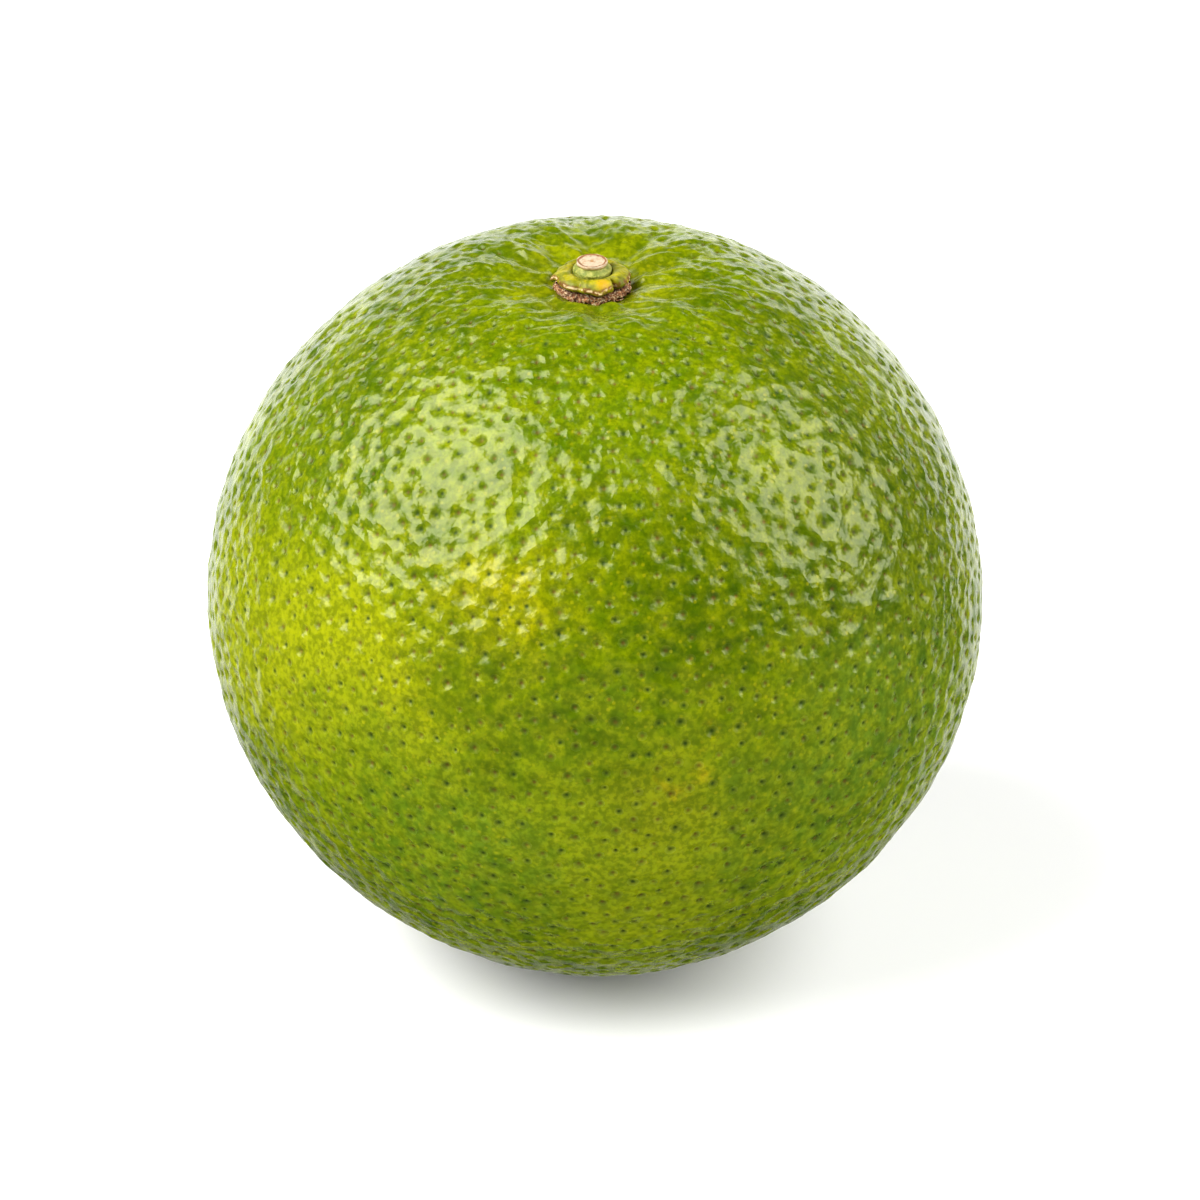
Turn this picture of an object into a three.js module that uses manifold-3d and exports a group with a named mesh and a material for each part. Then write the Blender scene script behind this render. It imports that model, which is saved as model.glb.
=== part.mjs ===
// A green-skinned sweet orange, as picked, standing on the small flat spot at its blossom end.
// Millimetres, +Z up along the core of the fruit. The origin is the middle of the flat spot.
// Four pieces grow on one axis: the fruit, the dry collar in its hollow, the calyx and the cut stem.
import * as THREE from 'three';
import { mergeVertices } from 'three/addons/utils/BufferGeometryUtils.js';
import Module from 'manifold-3d';

const wasm = await Module();
wasm.setup();

const DEGREE = Math.PI / 180;
const GAP = 0.25; // clear space between neighbouring pieces

// The whole round body, before the flat spot is taken off.
const BODY = {
  halfWidth: 37.5, // along X
  halfDepth: 37.0, // along Y
  halfHeight: 36.9, // along Z
  fullness: 0.03, // share by which the shoulders are fuller than the blossom end
  around: 72, // facets round the axis
  along: 44, // facets from pole to pole
  bunching: 0.2, // how strongly the facets crowd towards the poles
};

// How far the flat spot cuts into the round body.
const FLAT_SPOT_DEPTH = 0.8;

// Slow swellings round the fruit: waves per turn, height and where the first wave stands.
const SWELLINGS = [
  { waves: 2, height: 0.3, turn: 1.77 },
  { waves: 3, height: 0.12, turn: 2.2 },
  { waves: 5, height: 0.3, turn: 1.57 },
];

// The hollow round the stem, with furrows that run out of it over the shoulder.
const HOLLOW = {
  depth: 3.9,
  radius: 8.0, // where the hollow has lost 63% of its depth
  furrows: 12,
  furrowDepth: 0.22,
  furrowMiddle: 8.5, // distance from the axis at which the furrows are deepest
  furrowReach: 4.5,
  unevenness: 0.9, // radians by which the furrows wander from an even spacing
};

// The dry, brown, ragged tissue that holds the calyx off the rind. Its underside follows the hollow.
const COLLAR = { outer: 3.75, inner: 2.15, top: 1.2, waves: 9, raggedness: 0.14, around: 54 };

// The five-pointed green disc that clasps the stem.
const CALYX = {
  tips: [2, 62, 122, 182, 285].map((angle) => angle * DEGREE), // where the tips point, from +X
  tipSpread: 42 * DEGREE, // from the middle of a tip to the notch beside it
  tipRadius: 4.2,
  notchRadius: 3.4,
  hole: 2.1, // radius of the hole that the stem passes through
  rim: 0.45, // thickness at the edge
  rise: 1.0, // how much higher the disc is at the stem than at its edge
  droop: 0.25, // how far each tip hangs below the notches
  around: 60,
};

// The cut stalk: a stout green foot and a paler flared end.
const STEM = { footRadius: 1.75, waistRadius: 1.55, endRadius: 1.62, flare: 0.4, around: 32 };

const CENTRE_HEIGHT = BODY.halfHeight - FLAT_SPOT_DEPTH; // of the round body, above the flat spot
const HOLLOW_FLOOR = CENTRE_HEIGHT + BODY.halfHeight - HOLLOW.depth;
const CALYX_BASE = HOLLOW_FLOOR + COLLAR.top + GAP;
const STEM_TOP = CENTRE_HEIGHT + 36.45;

function material(colour, roughness) {
  return new THREE.MeshStandardMaterial({ color: colour, roughness, metalness: 0 });
}

// A three.js geometry as a manifold-3d solid.
function solidFrom(geometry) {
  const bare = new THREE.BufferGeometry();
  bare.setAttribute('position', geometry.getAttribute('position'));
  bare.setIndex(geometry.getIndex());
  const merged = mergeVertices(bare, 1e-4);
  return new wasm.Manifold(
    new wasm.Mesh({
      numProp: 3,
      vertProperties: merged.getAttribute('position').array,
      triVerts: new Uint32Array(merged.getIndex().array),
    }),
  );
}

// A manifold-3d solid as a three.js geometry.
function geometryFrom(solid) {
  const mesh = solid.getMesh();
  const geometry = new THREE.BufferGeometry();
  geometry.setAttribute('position', new THREE.BufferAttribute(mesh.vertProperties, 3));
  geometry.setIndex(new THREE.BufferAttribute(mesh.triVerts, 1));
  geometry.computeVertexNormals();
  return geometry;
}

// Moves every vertex of a geometry to where place(x, y, z) puts it.
function reshape(geometry, place) {
  const position = geometry.getAttribute('position');
  for (let i = 0; i < position.count; i += 1) {
    position.setXYZ(i, ...place(position.getX(i), position.getY(i), position.getZ(i)));
  }
  geometry.computeVertexNormals();
  return geometry;
}

// How far the hollow's surface has sunk below the round body at a distance from the axis.
function hollowSink(out) {
  return HOLLOW.depth * Math.exp(-((out / HOLLOW.radius) ** 2));
}

// The point of the rind in a direction given by the unit vector (x, y, z), from the body's centre.
function rindPoint(x, y, z) {
  const azimuth = Math.atan2(y, x);
  const level = Math.hypot(x, y); // 1 at the equator, 0 at the poles
  const full = 1 + BODY.fullness * z * level ** 2;
  const swell = SWELLINGS.reduce(
    (sum, wave) => sum + wave.height * Math.cos(wave.waves * azimuth + wave.turn),
    0,
  ) * level ** 2;
  const across = x * (BODY.halfWidth * full + swell);
  const back = y * (BODY.halfDepth * full + swell);
  const height = z * BODY.halfHeight;
  if (z <= 0) return [across, back, height];

  const out = Math.hypot(across, back);
  const wander = HOLLOW.unevenness * Math.sin(2 * azimuth + 0.7);
  const reach = Math.exp(-(((out - HOLLOW.furrowMiddle) / HOLLOW.furrowReach) ** 2));
  const furrow = HOLLOW.furrowDepth * reach * Math.cos(HOLLOW.furrows * azimuth + wander);
  return [across, back, height - hollowSink(out) - furrow];
}

// Draws the rings of facets closer together near the poles, where the rind bends most.
function bunchToPoles(x, y, z) {
  const polar = Math.acos(Math.max(-1, Math.min(1, z)));
  const moved = polar - BODY.bunching * Math.sin(2 * polar);
  const level = Math.hypot(x, y);
  const widen = level > 1e-6 ? Math.sin(moved) / level : 0;
  return [x * widen, y * widen, Math.cos(moved)];
}

// The fruit: the round body with its hollow, less the flat spot that it stands on.
function fruit() {
  const ball = new THREE.SphereGeometry(1, BODY.around, BODY.along);
  ball.rotateX(Math.PI / 2); // its poles onto Z
  reshape(ball, (x, y, z) => rindPoint(...bunchToPoles(x, y, z)));
  const body = solidFrom(ball).translate([0, 0, CENTRE_HEIGHT]);
  const floor = new THREE.BoxGeometry(4 * BODY.halfWidth, 4 * BODY.halfDepth, 20);
  floor.translate(0, 0, -10);
  const mesh = new THREE.Mesh(geometryFrom(body.subtract(solidFrom(floor))), material(0x6f9a12, 0.35));
  mesh.name = 'fruit';
  return mesh;
}

// A ring turned from a closed outline of [radius, height] corners.
function ring(corners, around) {
  const outline = [...corners, corners[0]].map(([radius, height]) => new THREE.Vector2(radius, height));
  return new THREE.LatheGeometry(outline, around).rotateX(Math.PI / 2);
}

// The collar: a low ring with a ragged outer edge.
function collar() {
  const { outer, inner, top, waves, raggedness } = COLLAR;
  const under = (radius) => GAP + HOLLOW.depth - hollowSink(radius);
  const plain = ring(
    [
      [inner, under(inner)],
      [outer - 0.4, under(outer - 0.4)],
      [outer, under(outer) + 0.1],
      [outer - 0.3, top],
      [inner, top],
    ],
    COLLAR.around,
  );
  const geometry = reshape(plain, (x, y, z) => {
    const azimuth = Math.atan2(y, x);
    const radius = Math.hypot(x, y);
    const edge = (radius - inner) / (outer - inner); // 0 at the stem, 1 at the edge
    const grown = radius + edge * raggedness * (Math.cos(waves * azimuth) + Math.sin(5 * azimuth + 1));
    return [grown * Math.cos(azimuth), grown * Math.sin(azimuth), z];
  });
  const mesh = new THREE.Mesh(geometry, material(0x6b4a2a, 0.9));
  mesh.name = 'dry_collar';
  mesh.position.z = HOLLOW_FLOOR;
  return mesh;
}

// How far a direction lies towards the nearest tip of the calyx: 1 at a tip, 0 in a notch.
function tipShare(azimuth) {
  const away = (tip) => Math.acos(Math.cos(azimuth - tip)) / CALYX.tipSpread;
  const nearest = Math.min(1, ...CALYX.tips.map(away));
  return (1 + Math.cos(Math.PI * nearest)) / 2;
}

// The calyx: a domed ring whose edge grows into five drooping tips.
function calyx() {
  const { tipRadius, notchRadius, hole, rim, rise, droop } = CALYX;
  const shoulder = hole + 0.75; // where the dome starts to fall away
  const plain = ring(
    [
      [hole, 0],
      [notchRadius - 0.25, 0],
      [notchRadius, rim * 0.4],
      [notchRadius - 0.15, rim],
      [shoulder, rise * 0.85],
      [hole, rise],
    ],
    CALYX.around,
  );
  const geometry = reshape(plain, (x, y, z) => {
    const azimuth = Math.atan2(y, x);
    const radius = Math.hypot(x, y);
    const edge = Math.max(0, (radius - hole) / (notchRadius - hole));
    const share = tipShare(azimuth) * edge ** 2;
    const grown = radius + share * (tipRadius - notchRadius);
    return [grown * Math.cos(azimuth), grown * Math.sin(azimuth), z - share * droop + droop];
  });
  const mesh = new THREE.Mesh(geometry, material(0x9aa63a, 0.6));
  mesh.name = 'calyx';
  mesh.position.z = CALYX_BASE;
  return mesh;
}

// The stem: it rises from the rind through the collar and the calyx to its flared, cut end.
function stem() {
  const foot = HOLLOW_FLOOR + GAP;
  const length = STEM_TOP - foot;
  const profile = [
    [0, 0],
    [STEM.footRadius, 0],
    [STEM.footRadius, length * 0.72],
    [STEM.waistRadius, length - STEM.flare],
    [STEM.endRadius, length - STEM.flare * 0.6],
    [STEM.endRadius, length - 0.08],
    [STEM.endRadius - 0.08, length],
    [0, length],
  ].map(([radius, height]) => new THREE.Vector2(radius, height));
  const geometry = new THREE.LatheGeometry(profile, STEM.around).rotateX(Math.PI / 2);
  const mesh = new THREE.Mesh(geometry, material(0x8fa04a, 0.7));
  mesh.name = 'stem';
  mesh.position.z = foot;
  return mesh;
}

const orange = new THREE.Group();
orange.add(fruit(), collar(), calyx(), stem());

export default orange;
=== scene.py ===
import itertools
import math
import random

import bmesh
import bpy
import numpy as np
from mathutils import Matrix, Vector, kdtree, noise
from mathutils.geometry import delaunay_2d_cdt


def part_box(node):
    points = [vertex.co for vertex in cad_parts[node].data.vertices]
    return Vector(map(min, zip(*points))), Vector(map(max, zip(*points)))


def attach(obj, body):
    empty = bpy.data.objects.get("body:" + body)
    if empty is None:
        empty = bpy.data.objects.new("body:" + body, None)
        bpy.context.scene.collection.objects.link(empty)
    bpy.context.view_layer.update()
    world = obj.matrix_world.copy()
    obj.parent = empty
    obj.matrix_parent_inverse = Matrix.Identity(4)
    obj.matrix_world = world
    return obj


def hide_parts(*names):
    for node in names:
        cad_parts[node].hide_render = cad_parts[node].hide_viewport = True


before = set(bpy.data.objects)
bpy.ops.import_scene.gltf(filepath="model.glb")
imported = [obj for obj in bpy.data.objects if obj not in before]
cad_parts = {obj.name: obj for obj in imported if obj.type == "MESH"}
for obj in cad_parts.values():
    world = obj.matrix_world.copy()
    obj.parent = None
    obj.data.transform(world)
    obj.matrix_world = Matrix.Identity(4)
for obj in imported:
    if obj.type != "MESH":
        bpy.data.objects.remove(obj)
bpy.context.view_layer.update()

# A green-skinned orange. Shapes are worked out in millimetres from the floor up and made in metres.
mm = 0.001
fullTurn = 2 * math.pi
samePlace = 1e-8  # metres


def say(stage):
    print("orange:", stage)


# the round body, the same one that the CAD part has

body = {
    "halfWidth": 37.5,
    "halfDepth": 37.0,
    "halfHeight": 36.9,
    "meanRadius": 37.2,  # of the plain ball that the pits and patches are laid out on
    "fullness": 0.03,  # how much fuller the shoulders are than the blossom end
    "flatSpot": 0.8,  # height of the cap that the flat spot takes off
    "swellings": [(2, 0.3, 1.77), (3, 0.12, 2.2), (5, 0.3, 1.57)],  # waves, height, turn
    "hollowDepth": 3.9,
    "hollowRadius": 8.0,  # where the hollow has lost most of its depth
    "furrows": 12,
    "furrowDepth": 0.22,
    "furrowMiddle": 8.5,
    "furrowReach": 4.5,
    "unevenness": 0.9,  # how far the furrows wander from an even spacing
}
centreHeight = body["halfHeight"] - body["flatSpot"]

# lowest and highest level of each small piece, in millimetres
levels = {name: [corner[2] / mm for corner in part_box(name)] for name in ("calyx", "stem", "dry_collar")}


def rindPoints(directions):
    x, y, z = directions.T
    azimuth = np.arctan2(y, x)
    level = np.hypot(x, y)
    full = 1 + body["fullness"] * z * level**2
    swell = sum(high * np.cos(waves * azimuth + turn) for waves, high, turn in body["swellings"])
    swell = swell * level**2
    across = x * (body["halfWidth"] * full + swell)
    back = y * (body["halfDepth"] * full + swell)
    out = np.hypot(across, back)
    sink = body["hollowDepth"] * np.exp(-((out / body["hollowRadius"]) ** 2))
    reach = np.exp(-(((out - body["furrowMiddle"]) / body["furrowReach"]) ** 2))
    wander = body["unevenness"] * np.sin(2 * azimuth + 0.7)
    furrow = body["furrowDepth"] * reach * np.cos(body["furrows"] * azimuth + wander)
    high = z * body["halfHeight"] - np.where(z > 0, sink + furrow, 0)
    return np.stack([across, back, high + centreHeight], axis=1)


def hollowFloor(out):
    # height of the rind inside the hollow, above the floor that the fruit stands on
    top = body["halfHeight"] * math.sqrt(1 - (out / body["halfWidth"]) ** 2)
    return centreHeight + top - body["hollowDepth"] * math.exp(-((out / body["hollowRadius"]) ** 2))


# material maths


class Wire:
    # an output socket that takes part in sums: each operator adds a Math node
    def __init__(self, tree, socket=None):
        self.tree = tree
        self.socket = socket

    def node(self, kind, settings=None, sockets=None, out=0):
        made = self.tree.nodes.new(kind)
        for name, value in (settings or {}).items():
            setattr(made, name, value)
        for name, value in (sockets or {}).items():
            if isinstance(value, Wire):
                self.tree.links.new(value.socket, made.inputs[name])
            else:
                made.inputs[name].default_value = value
        return Wire(self.tree, made.outputs[out] if len(made.outputs) else None)

    def maths(self, operation, first, second):
        return self.node("ShaderNodeMath", {"operation": operation}, {0: first, 1: second})

    def vectorMaths(self, operation, first, second, out=0):
        return self.node("ShaderNodeVectorMath", {"operation": operation}, {0: first, 1: second}, out)

    def scaled(self, factor):
        return self.node("ShaderNodeVectorMath", {"operation": "SCALE"}, {0: self, "Scale": factor})

    def distanceTo(self, spot):
        return self.vectorMaths("DISTANCE", self, tuple(spot), "Value")

    def __add__(self, other):
        return self.maths("ADD", self, other)

    def __radd__(self, other):
        return self.maths("ADD", other, self)

    def __sub__(self, other):
        return self.maths("SUBTRACT", self, other)

    def __rsub__(self, other):
        return self.maths("SUBTRACT", other, self)

    def __mul__(self, other):
        return self.maths("MULTIPLY", self, other)

    def __rmul__(self, other):
        return self.maths("MULTIPLY", other, self)


shade = 0.56  # the studio light is strong, so each paint is this much darker than its card


def paint(red, green, blue):
    # a colour as a paint card gives it, 0 to 255, made linear
    card = [value / 255 for value in (red, green, blue)]
    linear = [c / 12.92 if c <= 0.04045 else ((c + 0.055) / 1.055) ** 2.4 for c in card]
    return (*[value * shade for value in linear], 1.0)


def blend(first, second, share):
    # the colour sockets of a Mix node are its inputs 6 and 7 and its output 2
    return share.node("ShaderNodeMix", {"data_type": "RGBA"}, {0: share, 6: first, 7: second}, 2)


def fade(value, start, end, low=0.0, high=1.0):
    # an eased step from low at start to high at end
    settings = {"interpolation_type": "SMOOTHSTEP"}
    sockets = {"Value": value, "From Min": start, "From Max": end, "To Min": low, "To Max": high}
    return value.node("ShaderNodeMapRange", settings, sockets)


def cloud(place, size, detail=2.0, roughness=0.5, twist=0.0, out="Fac"):
    # soft noise whose lumps are about size millimetres across
    sockets = {"Vector": place, "Scale": 1 / size, "Detail": detail}
    sockets.update({"Roughness": roughness, "Distortion": twist})
    return place.node("ShaderNodeTexNoise", None, sockets, out)


def kept(wire, name):
    # a value that the mesh carries at its points
    return wire.node("ShaderNodeAttribute", {"attribute_name": name}, None, "Fac")


def startMaterial(name):
    material = bpy.data.materials.new(name)
    material.use_nodes = True
    tree = material.node_tree
    tree.nodes.clear()
    wire = Wire(tree)
    place = wire.node("ShaderNodeTexCoord", None, None, "Object").scaled(1 / mm)
    return material, place


def endMaterial(material, place, changing, steady=None):
    # changing holds what varies over the surface, steady the shader's own fixed values
    shader = place.node("ShaderNodeBsdfPrincipled", None, {**(steady or {}), **changing})
    place.node("ShaderNodeOutputMaterial", None, {"Surface": shader})
    return material


def bumped(height, distance, strength=1.0):
    sockets = {"Height": height, "Distance": distance * mm, "Strength": strength}
    return height.node("ShaderNodeBump", None, sockets)


def newPiece(name, points, faces, material, replaces, values=None):
    mesh = bpy.data.meshes.new(name)
    mesh.from_pydata((np.asarray(points) * mm).tolist(), [], faces)
    mesh.polygons.foreach_set("use_smooth", [True] * len(mesh.polygons))
    for label, numbers in (values or {}).items():
        layer = mesh.attributes.new(label, "FLOAT", "POINT")
        layer.data.foreach_set("value", np.asarray(numbers, dtype=np.float32))
    # the poles of a turned piece are one point many times over: make each a single one
    work = bmesh.new()
    work.from_mesh(mesh)
    bmesh.ops.remove_doubles(work, verts=work.verts, dist=samePlace)
    work.to_mesh(mesh)
    work.free()
    mesh.materials.append(material)
    piece = bpy.data.objects.new(name, mesh)
    bpy.context.scene.collection.objects.link(piece)
    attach(piece, "root")
    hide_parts(replaces)
    return piece


# rind

rind = {
    "seed": 11,
    "pitSpacing": (1.25, 2.25),  # nearest neighbours, in millimetres
    "patience": 900,  # misses in a row before the fruit counts as full of pits
    "pitDepth": 0.13,
    "pitWidth": 0.5,
    "pitSize": (0.75, 1.15),  # each of these three is a range that pits differ in
    "pitStrength": (0.55, 1.25),
    "pitSteepness": (0.5, 1.5),
    "poreDepth": 0.11,
    "poreWidth": 0.26,
    "pitRings": ((0.26, 6), (0.62, 8)),  # radius and points of the rings of mesh round a pit
    "ringsFrom": 9.0,  # nearer the axis than this, pits are too faint to need rings
    "pitBase": 1.3,  # how far from a pit its cone ends
    "stretch": 0.9,  # how much longer than wide the pits near the stem are
    "stretchMiddle": 8.0,
    "stretchSpread": 7.0,
    "fillPoints": 60000,
    "fillGap": 0.39,
    "stemPoints": 12000,
    "stemGap": 0.17,
    "stemReach": 17.0,
    "capSides": 14,  # the small face that closes the middle of the flat spot
    "capAngle": 1.5,  # degrees from its middle to its corners
    "rollHeight": 0.12,  # slow unevenness between the pits
    "calmFrom": 7.0,  # pits fade in over this far from the axis, and as far again
    "ridgeHeight": 0.9,  # wrinkles round the hollow
    "ridgeWidth": 0.58,
    "ridgeSteps": 8,
    "ridgeStep": 0.42,
    "ridgeMiddle": 9.5,
    "ridgeSpread": 7.5,
    "ridgeEnd": 24.0,
    "lip": 0.32,  # how far the rind swells up round the collar
    "lipMiddle": 4.5,
    "lipSpread": 0.75,
    "gloss": 0.2,
    "deepGreen": paint(84, 110, 0),
    "freshGreen": paint(124, 144, 2),
    "nearStem": paint(160, 162, 18),
    "mottle": paint(166, 172, 8),
    "grain": paint(62, 86, 0),
    # painted shade for the grooves between the wrinkles round the hollow
    "furrowShade": paint(84, 106, 2),
    # painted shade for the dimple of each pit
    "pit": paint(58, 82, 0),
    "gland": paint(172, 168, 18),
    "greenPore": paint(46, 74, 2),
    "brownPore": paint(116, 76, 14),
    "scar": paint(96, 74, 40),
}


def onSphere(azimuth, elevation):
    # degrees to a unit direction
    a, e = math.radians(azimuth), math.radians(elevation)
    return Vector((math.cos(a) * math.cos(e), math.sin(a) * math.cos(e), math.sin(e)))


def stretchNear(out):
    # pits are drawn out away from the stem, most of all on the rim of the hollow
    middle, spread = rind["stretchMiddle"], rind["stretchSpread"]
    return 1 + rind["stretch"] * math.exp(-(((out - middle) / spread) ** 2))


def tooClose(cells, cell, spot, reach):
    for step in itertools.product((-1, 0, 1), repeat=3):
        beside = tuple(here + away for here, away in zip(cell, step))
        for other, wide in cells.get(beside, ()):
            if (other - spot).length < (reach + wide) / 2:
                return True
    return False


def scatterPits():
    # darts thrown at the fruit: one stays where it keeps its own distance from the others
    dice = random.Random(rind["seed"])
    radius = body["meanRadius"]
    near, far = rind["pitSpacing"]
    cells = {}
    pits = []
    misses = 0
    while misses < rind["patience"]:
        z = dice.uniform(-1, 1)
        turn = dice.uniform(0, fullTurn)
        level = math.sqrt(1 - z * z)
        spot = Vector((level * math.cos(turn), level * math.sin(turn), z)) * radius
        reach = near + (far - near) * dice.random() ** 1.3
        if z > 0:
            # closer together towards the stem
            reach *= 1 - 0.25 * math.exp(-((level * radius / 10) ** 2))
        cell = tuple(int(math.floor(c / far)) for c in spot)
        if tooClose(cells, cell, spot, reach):
            misses += 1
            continue
        misses = 0
        cells.setdefault(cell, []).append((spot, reach))
        # the wider its own ground, the larger the pit
        size = min(1.35, reach / 1.95) * dice.uniform(*rind["pitSize"])
        tint = dice.random()
        strength = dice.uniform(*rind["pitStrength"])
        steepness = dice.uniform(*rind["pitSteepness"])
        pits.append((spot / radius, size, tint, strength, steepness))
    return pits


def localAxes(direction):
    # unit vectors round the fruit and away from the stem
    if direction.xy.length < 1e-5:
        return Vector((1, 0, 0)), Vector((0, 1, 0))
    around = Vector((-direction.y, direction.x, 0)).normalized()
    return around, direction.cross(around) * -1


def rindDirections(pits):
    # a centre and two rings for every pit, and plain points between them
    radius = body["meanRadius"]
    dice = random.Random(rind["seed"] + 1)
    found = []
    for direction, size, *others in pits:
        around, away = localAxes(direction)
        stretch = stretchNear(direction.xy.length * radius) if direction.z > 0 else 1
        found.append(direction)
        if direction.z > 0 and direction.xy.length * radius < rind["ringsFrom"]:
            continue
        for ring, count in rind["pitRings"]:
            start = dice.uniform(0, fullTurn)
            for step in range(count):
                turn = start + fullTurn * step / count
                wide = ring * size**0.5
                shift = around * (wide * math.cos(turn) / stretch**0.5)
                shift += away * (wide * math.sin(turn) * stretch**0.5)
                found.append((direction * radius + shift).normalized())
    tree = kdtree.KDTree(len(found))
    for index, direction in enumerate(found):
        tree.insert(direction * radius, index)
    tree.balance()
    golden = math.pi * (3 - math.sqrt(5))  # each point turns this far past the last, as in a sunflower

    # close together round the stem, for the wrinkles there
    total, reach = rind["stemPoints"], rind["stemReach"]
    for index in range(total):
        level = reach / radius * math.sqrt((index + 0.5) / total)
        turn = index * golden
        spot = Vector((level * math.cos(turn), level * math.sin(turn), math.sqrt(1 - level * level)))
        if tree.find(spot * radius)[2] > rind["stemGap"]:
            found.append(spot)

    # further apart over the rest, and each a little out of line
    total = rind["fillPoints"]
    for index in range(total):
        z = 1 - 2 * (index + 0.5) / total
        level = math.sqrt(1 - z * z)
        spot = Vector((level * math.cos(index * golden), level * math.sin(index * golden), z))
        spot = (spot * radius + Vector([dice.uniform(-0.1, 0.1) for axis in range(3)])).normalized()
        covered = spot.z > 0 and spot.xy.length * radius < reach + 0.2
        if not covered and tree.find(spot * radius)[2] > rind["fillGap"]:
            found.append(spot)

    # none inside the cap, and the last points are its corners
    sides, down = rind["capSides"], rind["capAngle"] - 90
    lowest = -math.cos(math.radians(rind["capAngle"])) + 1e-4
    found = [direction for direction in found if direction.z > lowest]
    found += [onSphere(step * 360 / sides, down) for step in range(sides)]
    return np.array(found)


def stitchRind(directions):
    # spread flat from the blossom end, so that a flat triangulation closes the ball
    flat = directions[:, :2] / (1 + directions[:, 2:3])
    result = delaunay_2d_cdt([Vector(pair) for pair in flat.tolist()], [], [], 0, 1e-9)
    source = [group[0] for group in result[3]]
    faces = [[source[corner] for corner in face] for face in result[2]]
    last = len(directions)
    cap = list(range(last - rind["capSides"], last))
    faces.append(cap[::-1])
    return faces


def streakAt(spot, out):
    # noise smeared along lines that leave the hollow, and that turn aside in front of it
    azimuth = math.atan2(spot.y, spot.x)
    turned = (math.degrees(azimuth) + 90 + 180) % 360 - 180
    aside = 65 * math.exp(-((turned / 50) ** 2)) * min(1.0, max(0.0, (out - 5) / 5))
    bend = aside * max(-1.0, min(1.0, turned / 12)) + 60 * noise.noise(spot / 7.0)
    turn = azimuth + math.radians(bend)
    flow = Vector((math.cos(turn), math.sin(turn), 0)) * rind["ridgeStep"]
    steps, width = rind["ridgeSteps"], rind["ridgeWidth"]
    total = sum(noise.noise((spot + flow * step) / width) for step in range(-steps, steps + 1))
    return total / (2 * steps + 1)


def makeRind():
    pits = scatterPits()
    say(f"{len(pits)} pits")
    directions = rindDirections(pits)
    faces = stitchRind(directions)
    say(f"rind of {len(directions)} points and {len(faces)} faces")
    base = rindPoints(directions)
    radius = body["meanRadius"]
    tree = kdtree.KDTree(len(pits))
    for index, pit in enumerate(pits):
        tree.insert(pit[0] * radius, index)
    tree.balance()

    # shift is how far a point moves out; the others are kept on the mesh for the material
    axes = [localAxes(pit[0]) for pit in pits]
    shift, pore, dimple, brown, slope, ridge = [], [], [], [], [], []
    for row, place in zip(directions.tolist(), base.tolist()):
        direction = Vector(row)
        spot = direction * radius
        out = math.hypot(place[0], place[1])
        above = row[2] > 0
        stretch = stretchNear(out) if above else 1
        sunk = deepest = nearest = 0.0
        tint = 0.5
        cone = rind["pitBase"]
        for centre, index, distance in tree.find_n(spot, 4):
            size, colour, deep, steep = pits[index][1:]
            around, away = axes[index]
            gap = spot - centre
            along = gap.dot(away) / stretch**0.5
            across = gap.dot(around) * stretch**0.5
            apart = along * along + across * across
            wide = math.exp(-apart / (rind["pitWidth"] * size) ** 2)
            narrow = math.exp(-apart / (rind["poreWidth"] * size**0.5) ** 2)
            sunk += rind["pitDepth"] * size * deep * wide + rind["poreDepth"] * deep * narrow
            deepest = max(deepest, wide * deep)
            cone = min(cone, math.sqrt(apart) * steep)
            if narrow > nearest:
                nearest = narrow
                tint = colour
        roll = noise.noise(spot / 1.5) + 0.5 * noise.noise(spot / 0.8) + 1.4 * noise.noise(spot / 4.0)
        lift = rind["rollHeight"] * roll
        streak = 0.0
        if above and out < rind["ridgeEnd"]:
            window = math.exp(-(((out - rind["ridgeMiddle"]) / rind["ridgeSpread"]) ** 2))
            streak = streakAt(spot, out) * (window * min(1.0, out / 5))
            lift += rind["ridgeHeight"] * streak
            swell = rind["lip"] * math.exp(-(((out - rind["lipMiddle"]) / rind["lipSpread"]) ** 2))
            lift += swell * (1 + noise.noise(spot / 1.5))
            calm = min(1.0, max(0.0, (out - rind["calmFrom"]) / rind["calmFrom"]))
            sunk *= calm
            cone = rind["pitBase"] - (rind["pitBase"] - cone) * calm
            deepest *= calm
            nearest *= 0.4 + 0.6 * calm
        shift.append(lift - sunk)
        pore.append(nearest)
        dimple.append(min(1.0, deepest))
        brown.append(tint)
        slope.append(cone)
        ridge.append(streak)

    outward = directions / np.array([body["halfWidth"], body["halfDepth"], body["halfHeight"]])
    outward /= np.linalg.norm(outward, axis=1)[:, None]
    points = base + outward * np.array(shift)[:, None]
    points[:, 2] = np.maximum(points[:, 2], 0.0)
    values = {"pore": pore, "dimple": dimple, "brown": brown, "slope": slope, "ridge": ridge}
    newPiece("orange_rind", points, faces, rindMaterial(), "fruit", values)


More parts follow.
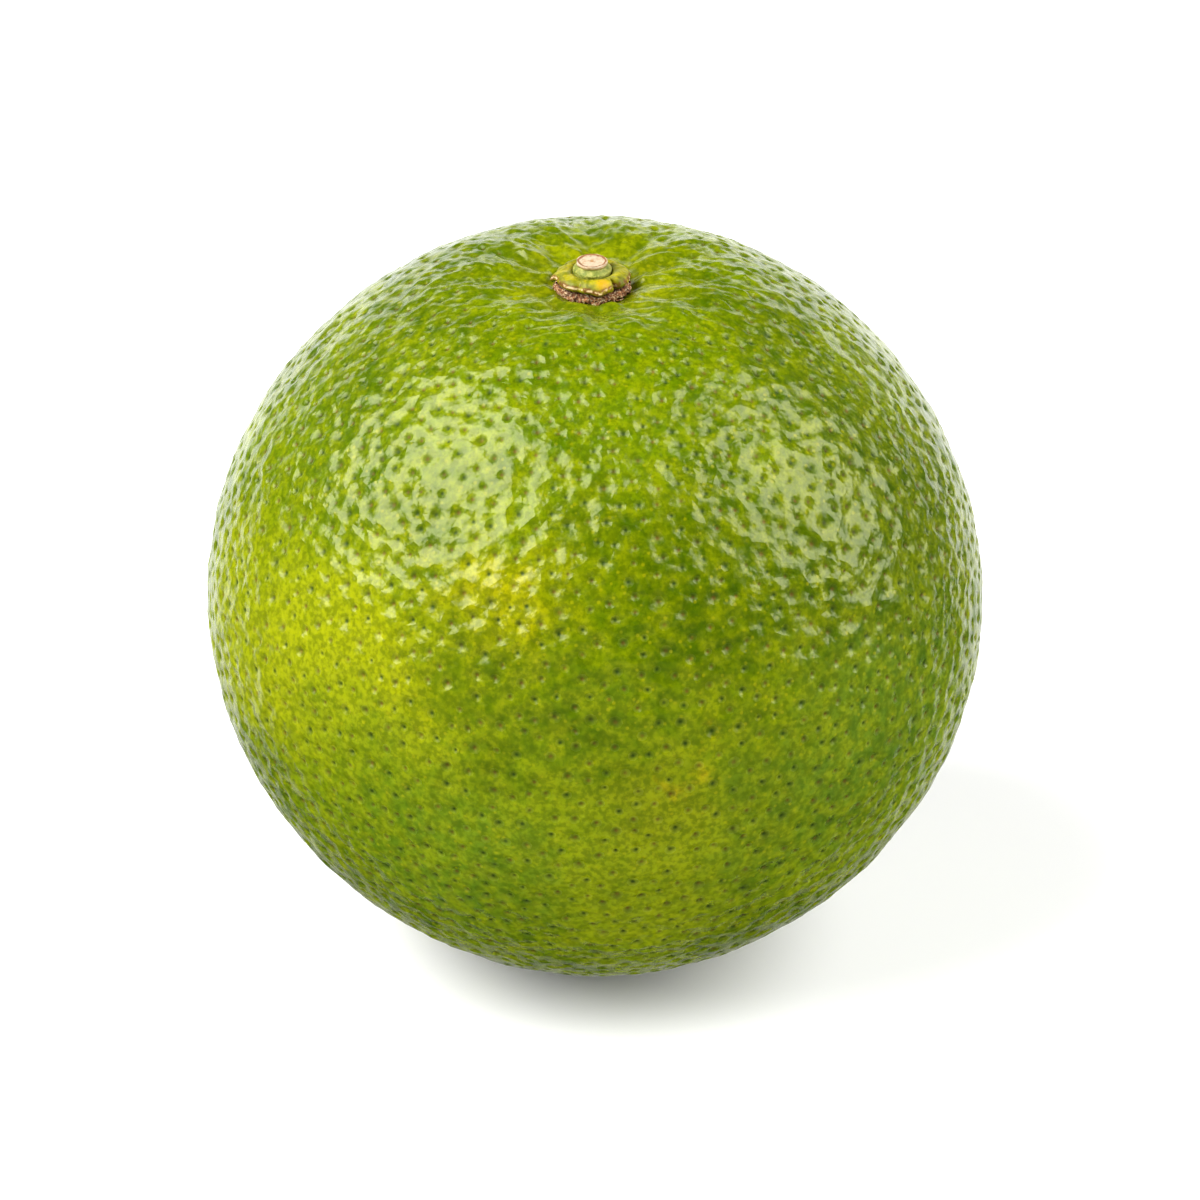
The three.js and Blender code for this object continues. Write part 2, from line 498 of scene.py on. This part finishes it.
# patches of colour: azimuth and elevation in degrees, radius and softness in millimetres,
# colour, share of the skin's own colour that they hide
patches = [
    (-126, 10, 9, 7, paint(172, 176, 6), 0.85),
    (-148, 12, 11, 8, paint(165, 172, 12), 0.75),
    (-103, 26, 4.2, 5, paint(196, 184, 4), 0.75),
    (-89, 23, 5, 5, paint(90, 116, 2), 0.65),
    (-74.5, 3, 1.3, 1.8, paint(214, 172, 6), 0.9),
    (-80, 0, 5, 4, paint(156, 160, 8), 0.5),
    (-83, -20, 8, 7, paint(152, 165, 14), 0.6),
    (-104, -4, 8, 7, paint(140, 158, 8), 0.5),
    (-58, 10, 7, 7, paint(132, 150, 8), 0.5),
    (-72, 31, 8, 8, paint(74, 100, 0), 0.8),
    (-107, 14, 6, 5, paint(88, 112, 2), 0.75),
    (-83, 11, 4, 4, paint(94, 120, 2), 0.6),
    (-88, 65, 8, 7, paint(104, 132, 0), 0.6),
    (-153, 38, 9, 8, paint(98, 124, 4), 0.6),
    (-33, 25, 11, 9, paint(72, 96, 0), 0.75),
    (-115, -16, 8, 7, paint(96, 130, 32), 0.65),
    (-42, 0, 9, 8, paint(92, 126, 40), 0.65),
    (-57, -11, 7, 7, paint(108, 136, 34), 0.55),
    (-125, -3, 7, 6, paint(100, 128, 14), 0.65),
    (-62, 33, 6, 6, paint(74, 100, 0), 0.55),
    (60, 20, 12, 9, paint(168, 176, 10), 0.7),
    (130, -12, 11, 9, paint(150, 166, 12), 0.6),
    (95, 35, 9, 8, paint(98, 124, 2), 0.6),
    (170, 5, 9, 8, paint(98, 124, 4), 0.5),
    (20, -10, 10, 9, paint(158, 170, 12), 0.6),
]


def rindMaterial():
    material, place = startMaterial("waxy green rind")
    # the patches are drawn in a place that wanders, so that none is round
    drift = cloud(place, 7.0, 3.0, 0.6, out="Color")
    wander = place.vectorMaths("SUBTRACT", drift, (0.5, 0.5, 0.5)).scaled(16.0)
    moved = place.vectorMaths("ADD", place, wander)
    colour = blend(rind["deepGreen"], rind["freshGreen"], fade(cloud(place, 9.0, 4.0, 0.6), 0.38, 0.62))
    torn = 9.0 * (cloud(place, 2.0, 5.0, 0.7) - 0.5)
    for azimuth, elevation, size, soft, tone, share in patches:
        centre = onSphere(azimuth, elevation) * body["meanRadius"] + Vector((0, 0, centreHeight))
        away = moved.distanceTo(centre) + torn
        colour = blend(colour, tone, fade(away, size - soft / 2, size + soft, share, 0.0))

    # yellower in the hollow round the stem
    fromStem = place.distanceTo((0.0, 0.0, centreHeight + 33.6))
    patchy = fade(cloud(place, 3.0, 3.0), 0.35, 0.7)
    colour = blend(colour, rind["nearStem"], fade(fromStem, 4.0, 11.5, 0.9, 0.0) * (0.45 + 0.55 * patchy))

    # mottling at the scale of the oil glands
    mottle = fade(cloud(place, 1.7, 3.0, 0.6), 0.3, 0.7)
    colour = blend(colour, rind["mottle"], mottle * 0.48)
    grain = fade(cloud(place, 0.6, 3.0, 0.6), 0.38, 0.62)
    colour = blend(colour, rind["grain"], grain * 0.46)

    # painted shade: darker in the grooves between the wrinkles round the hollow
    colour = blend(colour, rind["furrowShade"], fade(kept(place, "ridge"), -0.12, 0.0, 0.55, 0.0))
    # painted shade: darker in the dimple of each pit
    dimple = kept(place, "dimple")
    colour = blend(colour, rind["pit"], fade(dimple, 0.25, 0.95) * 0.36)

    # small glands show as yellow dots
    cells = {"Vector": place, "Scale": 1 / 0.95, "Randomness": 0.85}
    gland = place.node("ShaderNodeTexVoronoi", {"feature": "F1"}, cells, "Distance")
    rarely = fade(cloud(place, 8.0, 2.0), 0.35, 0.6)
    dot = fade(gland, 0.12, 0.24, 1.0, 0.0)
    colour = blend(colour, rind["gland"], dot * (0.15 + 0.3 * rarely))

    # the bottom of each pit is dark green or brown
    pore = kept(place, "pore")
    brown = kept(place, "brown")
    poreTone = blend(rind["greenPore"], rind["brownPore"], fade(brown, 0.3, 0.5))
    colour = blend(colour, poreTone, fade(pore, 0.2, 0.8) * fade(brown, 0.0, 1.0, 0.85, 0.4))

    # the blossom scar, under the fruit
    scar = place.distanceTo((0.0, 0.0, 0.0))
    colour = blend(colour, rind["scar"], fade(scar, 0.9, 1.9, 0.85, 0.0))

    roughness = rind["gloss"] + 0.14 * dimple + 0.3 * pore + 0.06 * cloud(place, 2.5, 2.0)
    calm = fade(fromStem, 9.0, 19.0, 0.2, 1.0)
    height = 0.15 * kept(place, "slope") + 0.2 * calm * cloud(place, 1.6, 2.0, 0.45)
    height = height + 0.012 * cloud(place, 0.3, 2.0) + 0.015 * fade(gland, 0.1, 0.5)
    normal = bumped(height, 1.0)
    changing = {"Base Color": colour, "Roughness": roughness, "Normal": normal}
    wax = {"IOR": 1.4, "Specular Tint": (1.0, 0.98, 0.72, 1.0)}
    return endMaterial(material, place, changing, wax)


say("rind")
makeRind()

# turned pieces: the calyx, the stem and the dry collar


def turnPiece(outline, around, bend, closed):
    # carries an outline of (radius, height) round the axis; bend gives each point its place
    points, faces, steps = [], [], []
    count = len(outline)
    for turn in range(around):
        azimuth = fullTurn * turn / around
        for step, (radius, height) in enumerate(outline):
            points.append(bend(radius, azimuth, height))
            steps.append(step / (count - 1))
    last = count if closed else count - 1
    for turn in range(around):
        here, there = turn * count, (turn + 1) % around * count
        for step in range(last):
            after = (step + 1) % count
            faces.append([here + step, there + step, there + after, here + after])
    return points, faces, steps


def curveAt(t, a, b, c, d):
    # from b at 0 to c at 1, heading as a and d say
    square = (2 * a - 5 * b + 4 * c - d) * t * t
    cube = (3 * b - a - 3 * c + d) * t**3
    return 0.5 * (2 * b + (c - a) * t + square + cube)


def smoothOutline(corners, pieces):
    # a rounded line through the corners, each stretch of it in so many pieces
    line = []
    for index in range(len(corners) - 1):
        before = corners[max(index - 1, 0)]
        start, end = corners[index], corners[index + 1]
        after = corners[min(index + 2, len(corners) - 1)]
        for step in range(pieces):
            line.append(tuple(curveAt(step / pieces, *four) for four in zip(before, start, end, after)))
    line.append(corners[-1])
    return line


def bell(azimuth, middle, width):
    # a soft hump round one direction, all in degrees
    apart = (math.degrees(azimuth) - middle + 180) % 360 - 180
    return math.exp(-((apart / width) ** 2))


stemEnd = (-0.28, 0.02)  # where the stem stands, off the axis of the fruit

calyx = {
    "around": 220,
    "radius": 3.5,
    "hole": 1.86,
    # direction in degrees, how deep or long, half width in degrees
    "notches": [(-47, 1.15, 4.5), (-113, 0.3, 6), (33, 0.6, 6), (93, 0.55, 7), (150, 0.5, 6)],
    "tips": [(-79, 0.34, 9), (183, 0.5, 4), (8, 0.12, 18), (62, 0.2, 12), (120, 0.2, 12)],
    "droop": 0.35,
    "backSquash": 0.17,
    "green": paint(138, 140, 14),
    "yellow": paint(186, 176, 24),
    "orangeSpot": paint(220, 172, 4),
    "shadeGreen": paint(98, 108, 14),
    "freckle": paint(120, 76, 24),
    "rim": paint(132, 80, 34),
    "dryRim": paint(244, 216, 166),
    # painted shade for the undersides of the lobes
    "underside": paint(84, 94, 12),
}


def calyxBend(radius, azimuth, height):
    inner, outer = calyx["hole"], calyx["radius"]
    edge = max(0.0, (radius - inner) / (outer - inner))
    notch = sum(deep * bell(azimuth, middle, width) for middle, deep, width in calyx["notches"])
    tip = sum(long * bell(azimuth, middle, width) for middle, long, width in calyx["tips"])
    wave = 0.1 * noise.noise(Vector((2.2 * math.cos(azimuth), 2.2 * math.sin(azimuth), 3.0)))
    grown = radius + edge**2.2 * (tip - notch + wave)
    x, y = grown * math.cos(azimuth), grown * math.sin(azimuth)
    if y > 0:
        y *= 1 - calyx["backSquash"] * edge
    sag = calyx["droop"] * edge**3 * (0.3 + 1.6 * tip) + 0.28 * notch * edge**2
    puff = 0.2 * bell(azimuth, -75, 24) * math.exp(-(((edge - 0.55) / 0.3) ** 2))
    spot = Vector((x, y, height))
    lumps = 0.07 * noise.noise(spot / 0.7) + 0.035 * noise.noise(spot / 0.28)
    return x + stemEnd[0], y + stemEnd[1], height - sag + puff + lumps * min(1.0, edge * 3)


def makeCalyx():
    low = levels["calyx"][0]
    corners = [
        (calyx["hole"], low + 0.15),
        (calyx["hole"] + 0.02, low + 0.75),
        (calyx["hole"] + 0.22, low + 1.0),
        (calyx["hole"] + 0.75, low + 1.12),
        (2.9, low + 1.08),
        (3.25, low + 0.94),
        (3.48, low + 0.66),
        (3.5, low + 0.38),
        (3.35, low + 0.2),
        (2.9, low + 0.14),
        (2.4, low + 0.1),
    ]
    points, faces, steps = turnPiece(smoothOutline(corners, 5), calyx["around"], calyxBend, True)
    # the outline passes the rim at 0.61 of its length, and then turns under
    edges = [max(0.0, 1 - abs(step - 0.61) / 0.11) for step in steps]
    under = [max(0.0, min(1.0, (step - 0.66) / 0.12)) for step in steps]
    values = {"edge": edges, "under": under}
    faces = [face[::-1] for face in faces]  # this outline runs the other way round than the others
    newPiece("calyx_lobes", points, faces, calyxMaterial(), "calyx", values)


def calyxMaterial():
    material, place = startMaterial("calyx skin")
    streak = cloud(place, 0.8, 4.0, 0.6, 0.6)
    colour = blend(calyx["green"], calyx["yellow"], fade(streak, 0.36, 0.64))
    spot = onSphere(-76, 0) * 3.0 + Vector((0, 0, levels["calyx"][1] - 0.3))
    colour = blend(colour, calyx["orangeSpot"], fade(place.distanceTo(spot), 0.2, 1.0, 0.9, 0.0))
    colour = blend(colour, calyx["shadeGreen"], fade(cloud(place, 1.8, 3.0), 0.5, 0.66) * 0.7)
    colour = blend(colour, calyx["freckle"], fade(cloud(place, 0.45, 4.0, 0.7), 0.58, 0.68) * 0.7)
    edge = kept(place, "edge")
    crust = fade(cloud(place, 0.55, 3.0), 0.38, 0.54)
    colour = blend(colour, calyx["rim"], fade(edge, 0.15, 0.6) * crust * 0.85)
    torn = fade(cloud(place, 0.6, 4.0, 0.65), 0.47, 0.56)
    colour = blend(colour, calyx["dryRim"], fade(edge, 0.55, 0.92) * torn)
    # painted shade: the undersides of the lobes are darker
    colour = blend(colour, calyx["underside"], kept(place, "under"))
    normal = bumped(cloud(place, 0.25, 4.0, 0.65), 0.06, 0.8)
    changing = {"Base Color": colour, "Roughness": 0.42 + 0.3 * crust * edge, "Normal": normal}
    return endMaterial(material, place, changing, {"Specular IOR Level": 0.3})


stalk = {
    "around": 120,
    "face": 1.42,  # radius of the cut
    "foot": 1.84,
    "lean": (-0.04, 0.22),  # how far the cut stands from over the foot
    "bark": paint(128, 140, 34),
    "paleBark": paint(192, 190, 92),
    "dryBark": paint(206, 172, 124),
    "wood": paint(214, 194, 164),
    "woodGrain": paint(186, 148, 102),
    "ring": paint(150, 98, 50),
    "core": paint(176, 122, 60),
}


def stalkBend(radius, azimuth, height):
    inner, outer = levels["stem"]
    rise = (height - inner) / (outer - inner)
    x, y = radius * math.cos(azimuth), radius * math.sin(azimuth)
    spot = Vector((x, y, height))
    side = min(1.0, radius / 1.3) if height < outer - 0.05 else 0.35 * radius / stalk["face"]
    lump = 0.09 * noise.noise(spot / 0.75) + 0.05 * noise.noise(spot / 0.3)
    grown = 1 + lump * side / max(radius, 0.5)
    ragged = 0.03 * noise.noise(spot / 0.22) if height > outer - 0.2 else 0
    x = x * grown + stalk["lean"][0] * rise + stemEnd[0]
    y = y * grown + stalk["lean"][1] * rise + stemEnd[1]
    return x, y, height + ragged


def makeStalk():
    low, high = levels["stem"]
    face, foot = stalk["face"], stalk["foot"]
    corners = [
        (0.0, low),
        (foot * 0.9, low),
        (foot, low + 0.3),
        (foot, high - 1.0),
        (foot - 0.08, high - 0.75),
        (face - 0.02, high - 0.42),
        (face + 0.05, high - 0.26),
        (face + 0.06, high - 0.1),
        (face - 0.02, high - 0.01),
        (face - 0.16, high - 0.03),
        (face - 0.3, high - 0.08),
        (0.9, high - 0.05),
        (0.35, high - 0.04),
        (0.16, high - 0.1),
        (0.0, high - 0.12),
    ]
    outline = smoothOutline(corners, 5)
    points, faces, steps = turnPiece(outline, stalk["around"], stalkBend, False)
    newPiece("cut_stem", points, faces, stalkMaterial(), "stem")


def stalkMaterial():
    material, place = startMaterial("green stem with a pale cut")
    high = levels["stem"][1]
    level = place.node("ShaderNodeSeparateXYZ", None, {"Vector": place}, "Z")
    centre = (stemEnd[0] + stalk["lean"][0], stemEnd[1] + stalk["lean"][1], 0.0)
    across = place.vectorMaths("SUBTRACT", place, centre)
    across = place.vectorMaths("MULTIPLY", across, (1.0, 1.0, 0.0))
    out = across.distanceTo((0.0, 0.0, 0.0))
    bark = blend(stalk["bark"], stalk["paleBark"], fade(cloud(place, 0.5, 4.0, 0.65), 0.38, 0.66))
    bark = blend(bark, stalk["dryBark"], fade(level, high - 0.42, high - 0.2))
    wood = blend(stalk["wood"], stalk["woodGrain"], fade(cloud(place, 0.3, 4.0), 0.45, 0.7) * 0.7)
    uneven = out + cloud(place, 0.6, 3.0) * 0.35
    wood = blend(wood, stalk["ring"], fade(uneven, 1.28, 1.42) * fade(uneven, 1.62, 1.48))
    wood = blend(wood, stalk["core"], fade(out, 0.1, 0.3, 0.9, 0.0))
    onTop = fade(level, high - 0.2, high - 0.1) * fade(out, 1.62, 1.46)
    colour = blend(bark, wood, onTop)
    normal = bumped(cloud(place, 0.2, 4.0, 0.7), 0.07, 0.9)
    changing = {"Base Color": colour, "Roughness": 0.55 + 0.25 * onTop, "Normal": normal}
    return endMaterial(material, place, changing)


collar = {
    "around": 260,
    "outer": 3.5,
    "inner": 2.2,
    "squash": (0.86, 0.93),  # share of its depth that it keeps behind and in front
    "strands": 90,
    "seed": 5,
    "brown": paint(112, 64, 34),
    "tan": paint(200, 140, 90),
    "paleFibre": paint(252, 226, 184),
    "darkFibre": paint(70, 40, 20),
}


def collarPlace(x, y):
    behind, before = collar["squash"]
    return x + stemEnd[0], y * (behind if y > 0 else before) + stemEnd[1]


def collarBend(radius, azimuth, height):
    x, y = radius * math.cos(azimuth), radius * math.sin(azimuth)
    spot = Vector((x, y, height))
    edge = (radius - collar["inner"]) / (collar["outer"] - collar["inner"])
    ragged = 0.3 * noise.noise(spot / 0.55) + 0.2 * noise.noise(spot / 0.22)
    grown = 1 + edge * ragged / radius
    x, y = collarPlace(x * grown, y * grown)
    return x, y, height + 0.22 * edge * noise.noise(spot / 0.4 + Vector((9, 0, 0)))


def makeCollar():
    top = levels["dry_collar"][1]
    inner, outer = collar["inner"], collar["outer"]
    corners = [
        (inner, top),
        (inner, hollowFloor(inner) + 0.05),
        (outer - 0.4, hollowFloor(outer - 0.4) + 0.02),
        (outer, hollowFloor(outer) + 0.02),
        (outer + 0.08, hollowFloor(outer) + 0.3),
        (outer - 0.12, top + 0.05),
        (outer - 0.6, top + 0.1),
        (inner + 0.2, top + 0.05),
    ]
    points, faces, steps = turnPiece(smoothOutline(corners, 4), collar["around"], collarBend, True)
    dice = random.Random(collar["seed"])
    for strand in range(collar["strands"]):
        addStrand(points, faces, dice, top)
    newPiece("dry_collar_fibres", points, faces, collarMaterial(), "dry_collar")


def addStrand(points, faces, dice, top):
    # a thin torn strip that lies along the edge of the collar
    start = dice.uniform(0, fullTurn)
    span = dice.uniform(0.12, 0.42) * dice.choice((-1, 1))
    radius = collar["outer"] + dice.uniform(-0.12, 0.12)
    low = hollowFloor(radius) + dice.uniform(0.02, 0.5)
    climb = dice.uniform(-0.25, 0.3)
    thick = dice.uniform(0.03, 0.07)
    first = len(points)
    steps = 7  # rings of four points along the strip
    for step in range(steps):
        t = step / (steps - 1)
        turn = start + span * t
        bow = radius + 0.12 * math.sin(math.pi * t)
        size = thick * (1 - 0.75 * abs(2 * t - 1) ** 2)
        height = min(low + climb * t, top + 0.12)
        for corner in range(4):
            side = fullTurn * (corner + 0.5) / 4
            out = bow + size * math.cos(side)
            x, y = collarPlace(out * math.cos(turn), out * math.sin(turn))
            points.append((x, y, height + size * math.sin(side) * 1.6))
    for step in range(steps - 1):
        for corner in range(4):
            a = first + step * 4 + corner
            b = first + step * 4 + (corner + 1) % 4
            faces.append([a, b, b + 4, a + 4] if span < 0 else [a, a + 4, b + 4, b])
    end = first + steps * 4
    caps = [[first, first + 1, first + 2, first + 3], [end - 1, end - 2, end - 3, end - 4]]
    faces.extend(caps if span > 0 else [cap[::-1] for cap in caps])


def collarMaterial():
    material, place = startMaterial("dry brown tissue")
    fibre = cloud(place, 0.35, 5.0, 0.7, 1.2)
    colour = blend(collar["brown"], collar["tan"], fade(fibre, 0.38, 0.62))
    colour = blend(colour, collar["paleFibre"], fade(cloud(place, 0.24, 3.0), 0.5, 0.62) * 0.85)
    colour = blend(colour, collar["darkFibre"], fade(cloud(place, 0.7, 3.0), 0.5, 0.62) * 0.75)
    normal = bumped(fibre, 0.12)
    changing = {"Base Color": colour, "Roughness": 0.8 + 0.1 * fibre, "Normal": normal}
    return endMaterial(material, place, changing)


say("calyx, stem and collar")
makeCalyx()
makeStalk()
makeCollar()

# floor, light and camera

studio = {
    "distance": 600.0,  # camera to the middle of the fruit
    "elevation": 30.0,
    "lens": 185.0,
    "sensor": 36.0,
    "aside": (0.449, -0.372),  # the view's middle, right of and above the fruit's middle
    "room": 0.02,  # how bright the world is in front of the fruit
    "backdrop": 1.7,  # and behind it
    "floorSize": 6.0,  # metres
    "floor": (0.84, 0.84, 0.84, 1.0),
    "seenFloor": (0.76, 0.76, 0.76, 1.0),
    "floorLift": 0.06,
    "floorFade": (0.35, 1.1),  # metres from the fruit
    # softboxes: direction from the fruit, distance, width, height, power
    # each of the two has a dimmer and wider one behind it
    "boxes": [
        ((-0.67, -0.2, 0.715), 800.0, 820.0, 860.0, 15.2),
        ((-0.67, -0.2, 0.715), 820.0, 1130.0, 1070.0, 1.6),
        ((0.81, -0.06, 0.585), 800.0, 580.0, 940.0, 9.0),
        ((0.81, -0.06, 0.585), 820.0, 930.0, 1300.0, 1.5),
    ],
    "fill": ((0.05, -1.0, 0.1), 900.0, 1400.0, 400.0, 4.4),  # lights the front and isn't mirrored
}
black = (0.0, 0.0, 0.0, 1.0)
white = (1.0, 1.0, 1.0, 1.0)


def makeFloor():
    # a hair below the fruit, so that the two don't share a plane
    bpy.ops.mesh.primitive_plane_add(size=studio["floorSize"], location=(0, 0, -0.05 * mm))
    floor = bpy.context.object
    floor.name = "studio_floor"
    material = bpy.data.materials.new("plain pale floor")
    material.use_nodes = True
    shader = material.node_tree.nodes["Principled BSDF"]
    shader.inputs["Roughness"].default_value = 0.9
    shader.inputs["Specular IOR Level"].default_value = 0.1
    wire = Wire(material.node_tree)
    # the camera sees deeper shadows than light the fruit, and a glow that grows to white with distance
    seen = wire.node("ShaderNodeLightPath", None, None, "Is Camera Ray")
    away = wire.node("ShaderNodeTexCoord", None, None, "Object").distanceTo((0.0, 0.0, 0.0))
    lift = seen * fade(away, *studio["floorFade"], studio["floorLift"], 1.0)
    tone = blend(studio["floor"], studio["seenFloor"], seen)
    material.node_tree.links.new(tone.socket, shader.inputs["Base Color"])
    glow = blend(black, white, lift)
    material.node_tree.links.new(glow.socket, shader.inputs["Emission Color"])
    shader.inputs["Emission Strength"].default_value = 1.0
    floor.data.materials.append(material)
    floor.visible_glossy = False  # it lights the fruit without a haze on the wax


def makeLight():
    world = bpy.data.worlds.new("studio")
    bpy.context.scene.world = world
    world.use_nodes = True
    tree = world.node_tree
    tree.nodes.clear()
    wire = Wire(tree)
    # bright behind the fruit, dark in front of it, so that the wax mirrors pale edges and clear lamps
    direction = wire.node("ShaderNodeTexCoord", None, None, "Generated")
    depth = direction.node("ShaderNodeSeparateXYZ", None, {"Vector": direction}, "Y")
    rise = direction.node("ShaderNodeSeparateXYZ", None, {"Vector": direction}, "Z")
    seen = wire.node("ShaderNodeLightPath", None, None, "Is Camera Ray")
    strength = fade(depth - 0.4 * rise, 0.6, 0.9, studio["room"], studio["backdrop"])
    strength = strength * fade(rise, -0.8, -0.3, 0.2, 1.0)
    shown = strength.maths("MAXIMUM", strength, seen)
    surface = wire.node("ShaderNodeBackground", None, {"Color": white, "Strength": shown})
    wire.node("ShaderNodeOutputWorld", None, {"Surface": surface})
    middle = Vector((0, 0, centreHeight))
    lamps = [*studio["boxes"], studio["fill"]]
    for index, (toward, distance, width, height, power) in enumerate(lamps):
        lamp = bpy.data.lights.new(f"softbox_{index + 1}", "AREA")
        lamp.shape = "ELLIPSE"
        lamp.size = width * mm
        lamp.size_y = height * mm
        lamp.energy = power
        box = bpy.data.objects.new(lamp.name, lamp)
        box.location = (middle + Vector(toward).normalized() * distance) * mm
        box.rotation_euler = Vector(toward).to_track_quat("Z", "Y").to_euler()
        box.visible_glossy = index < len(studio["boxes"])
        bpy.context.scene.collection.objects.link(box)


def makeCamera():
    up = math.radians(studio["elevation"])
    back = Vector((0, -math.cos(up), math.sin(up)))
    right, above = Vector((1, 0, 0)), Vector((0, math.sin(up), math.cos(up)))
    middle = Vector((0, 0, centreHeight))
    middle += right * studio["aside"][0] + above * studio["aside"][1]
    camera = bpy.data.objects.new("camera", bpy.data.cameras.new("camera"))
    camera.data.lens = studio["lens"]
    camera.data.sensor_width = studio["sensor"]
    camera.location = (middle + back * studio["distance"]) * mm
    camera.rotation_euler = back.to_track_quat("Z", "Y").to_euler()
    bpy.context.scene.collection.objects.link(camera)
    bpy.context.scene.camera = camera
    bpy.context.scene.view_settings.view_transform = "Standard"
    bpy.context.scene.view_settings.look = "Medium High Contrast"


say("studio")
makeFloor()
makeLight()
makeCamera()

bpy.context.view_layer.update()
say("done")
